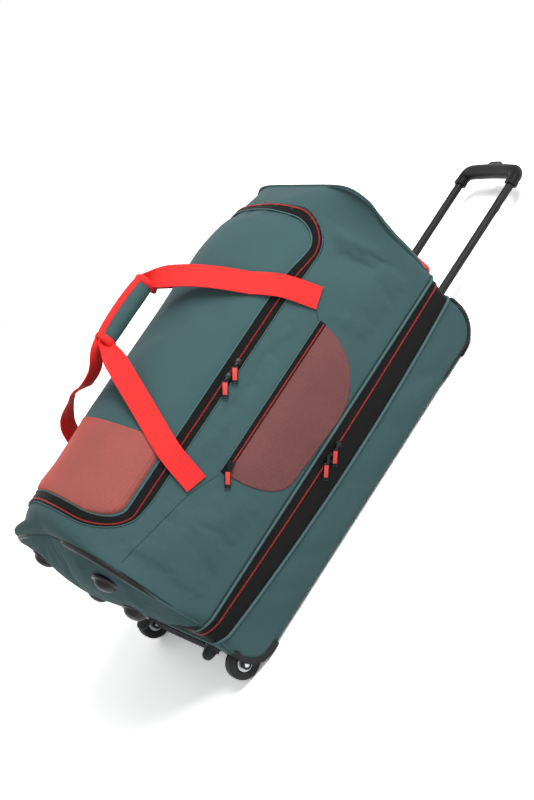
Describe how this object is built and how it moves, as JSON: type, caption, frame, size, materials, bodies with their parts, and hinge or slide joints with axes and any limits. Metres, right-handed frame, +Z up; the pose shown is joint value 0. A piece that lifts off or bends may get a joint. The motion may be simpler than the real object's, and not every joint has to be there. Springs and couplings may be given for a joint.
{
  "type": "rolling duffel bag",
  "caption": "Rolling duffel bag with a wheeled lower deck, an arched upper deck, a zipped fold-back lid, wrapped carry straps and a telescoping pull handle.",
  "frame": {"origin": "on the ground under the middle of the whole length, with the pull handle drawn out", "axes": "+X from the wheels to the pull handle, +Z up through the lid, -Y the side with the mesh pocket"},
  "size_m": [1.0284, 0.3828, 0.485],
  "materials": {
    "teal_polyester": "matt coated weave",
    "black_tape": "woven tape",
    "red_webbing": "woven webbing",
    "red_mesh": "open mesh",
    "lining_cloth": "plain lining",
    "edge_binding": "soft matt",
    "black_moulding": "satin",
    "board_plastic": "matt",
    "steel": "bright",
    "tyre_rubber": "matt",
    "hub_silver": "silvered",
    "sleeve_aluminium": "plain",
    "tube_paint": "satin black",
    "glide_nylon": "plain",
    "grip_plastic": "fine grain",
    "button_plastic": "satin",
    "zip_metal": "satin black",
    "puller_red": "soft"
  },
  "bodies": {
    "base": {"base_tub": "teal_polyester", "base_board": "board_plastic", "skid_rails": "black_moulding", "base_piping": "teal_polyester", "sleeve_lining": "lining_cloth", "base_zip_tape": "black_tape", "handle_end_guard": "edge_binding", "near_wheel_housing": "black_moulding", "far_wheel_housing": "black_moulding", "stand_feet": "black_moulding", "wheel_end_skirt": "black_moulding", "housing_screws": "steel", "near_axle": "steel", "far_axle": "steel", "near_sleeve": "sleeve_aluminium", "far_sleeve": "sleeve_aluminium", "sleeve_saddles": "board_plastic", "sleeve_cross_piece": "board_plastic", "exit_plate": "black_moulding"},
    "near_wheel": {"near_tyre": "tyre_rubber", "near_hub": "hub_silver", "near_bush": "steel"},
    "far_wheel": {"far_tyre": "tyre_rubber", "far_hub": "hub_silver", "far_bush": "steel"},
    "trolley": {"near_tube": "tube_paint", "far_tube": "tube_paint", "glide_bushes": "glide_nylon", "tube_collars": "black_moulding", "grip_bar": "grip_plastic", "tube_catch": "black_moulding", "button_spring": "steel"},
    "button": {"push_button": "button_plastic", "push_rods": "steel"},
    "deck": {"upper_shell": "teal_polyester", "divider_panel": "lining_cloth", "deck_zip_tape": "black_tape", "deck_piping": "teal_polyester", "mouth_zip_tape": "black_tape", "pocket_mesh": "red_mesh", "pocket_zip_tape": "black_tape", "grab_handle": "red_webbing", "shoulder_guards": "black_moulding", "dome_feet": "black_moulding"},
    "lid": {"lid_panel": "teal_polyester", "lid_mesh": "red_mesh", "lid_zip_tape": "black_tape"},
    "near_carry_strap": {"near_strap": "red_webbing", "grip_wrap": "teal_polyester"},
    "far_carry_strap": {"far_strap": "red_webbing"},
    "lid_slider_a": {"lid_slider_a": "zip_metal"},
    "lid_puller_a": {"lid_puller_a": "puller_red"},
    "lid_slider_b": {"lid_slider_b": "zip_metal"},
    "lid_puller_b": {"lid_puller_b": "puller_red"},
    "pocket_slider": {"pocket_slider": "zip_metal"},
    "pocket_puller": {"pocket_puller": "puller_red"},
    "deck_slider_a": {"deck_slider_a": "zip_metal"},
    "deck_puller_a": {"deck_puller_a": "puller_red"},
    "deck_slider_b": {"deck_slider_b": "zip_metal"},
    "deck_puller_b": {"deck_puller_b": "puller_red"}
  },
  "joints": [
    {"name": "near_wheel_spin", "type": "hinge", "parent": "base", "child": "near_wheel", "pos_m": [-0.4733, -0.165, 0.028], "axis": [0, 1, 0], "continuous": true},
    {"name": "far_wheel_spin", "type": "hinge", "parent": "base", "child": "far_wheel", "pos_m": [-0.4733, 0.165, 0.028], "axis": [0, 1, 0], "continuous": true},
    {"name": "trolley_slide", "type": "slide", "parent": "base", "child": "trolley", "axis": [1, 0, 0], "range_m": [-0.255, 0]},
    {"name": "button_press", "type": "slide", "parent": "trolley", "child": "button", "axis": [1, 0, 0], "range_m": [-0.0035, 0], "stiffness_N_per_m": 400, "springref_m": 0.002, "deforming": ["button_spring"]},
    {"name": "deck_fold", "type": "hinge", "parent": "base", "child": "deck", "pos_m": [-0.1303, 0.1865, 0.11], "axis": [-1, 0, 0], "range_deg": [0, 75]},
    {"name": "lid_fold", "type": "hinge", "parent": "deck", "child": "lid", "pos_m": [-0.1393, 0.138, 0.3117], "axis": [-1, 0, 0], "range_deg": [0, 100], "deforming": ["near_strap", "far_strap", "grip_wrap"]},
    {"name": "near_strap_fall", "type": "hinge", "parent": "deck", "child": "near_carry_strap", "pos_m": [-0.1143, -0.16269, 0.266], "axis": [1, 0, 0], "range_deg": [0, 101]},
    {"name": "far_strap_fall", "type": "hinge", "parent": "deck", "child": "far_carry_strap", "pos_m": [-0.1143, 0.16269, 0.266], "axis": [-1, 0, 0], "range_deg": [0, 101]},
    {"name": "lid_slider_a_run", "type": "slide", "parent": "lid", "child": "lid_slider_a", "axis": [1, 0, 0], "range_m": [0, 0.188], "deforming": ["near_strap"]},
    {"name": "lid_puller_a_lift", "type": "hinge", "parent": "lid_slider_a", "child": "lid_puller_a", "pos_m": [-0.0977, -0.14259, 0.31454], "axis": [0, 0.5271, 0.8498], "range_deg": [0, 120]},
    {"name": "lid_slider_b_run", "type": "slide", "parent": "lid", "child": "lid_slider_b", "axis": [1, 0, 0], "range_m": [-0.245, 0], "deforming": ["near_strap"]},
    {"name": "lid_puller_b_lift", "type": "hinge", "parent": "lid_slider_b", "child": "lid_puller_b", "pos_m": [-0.1257, -0.14259, 0.31454], "axis": [0, 0.5271, 0.8498], "range_deg": [0, 120]},
    {"name": "pocket_slider_run", "type": "slide", "parent": "deck", "child": "pocket_slider", "axis": [1, 0, 0], "range_m": [0, 0.25]},
    {"name": "pocket_puller_lift", "type": "hinge", "parent": "pocket_slider", "child": "pocket_puller", "pos_m": [-0.2407, -0.17697, 0.24213], "axis": [0, 0.2914, 0.9566], "range_deg": [0, 120]},
    {"name": "deck_slider_a_run", "type": "slide", "parent": "deck", "child": "deck_slider_a", "axis": [1, 0, 0], "range_m": [0, 0.26]},
    {"name": "deck_puller_a_lift", "type": "hinge", "parent": "deck_slider_a", "child": "deck_puller_a", "pos_m": [-0.1097, -0.1914, 0.11], "axis": [0, 0, 1], "range_deg": [0, 120]},
    {"name": "deck_slider_b_run", "type": "slide", "parent": "deck", "child": "deck_slider_b", "axis": [1, 0, 0], "range_m": [-0.29, 0]},
    {"name": "deck_puller_b_lift", "type": "hinge", "parent": "deck_slider_b", "child": "deck_puller_b", "pos_m": [-0.1367, -0.1914, 0.11], "axis": [0, 0, 1], "range_deg": [0, 120]}
  ],
  "couplings": [
    {"joint": "near_strap_fall", "follows": "lid_fold", "ratio": 1},
    {"joint": "far_strap_fall", "follows": "lid_fold", "ratio": 1}
  ]
}
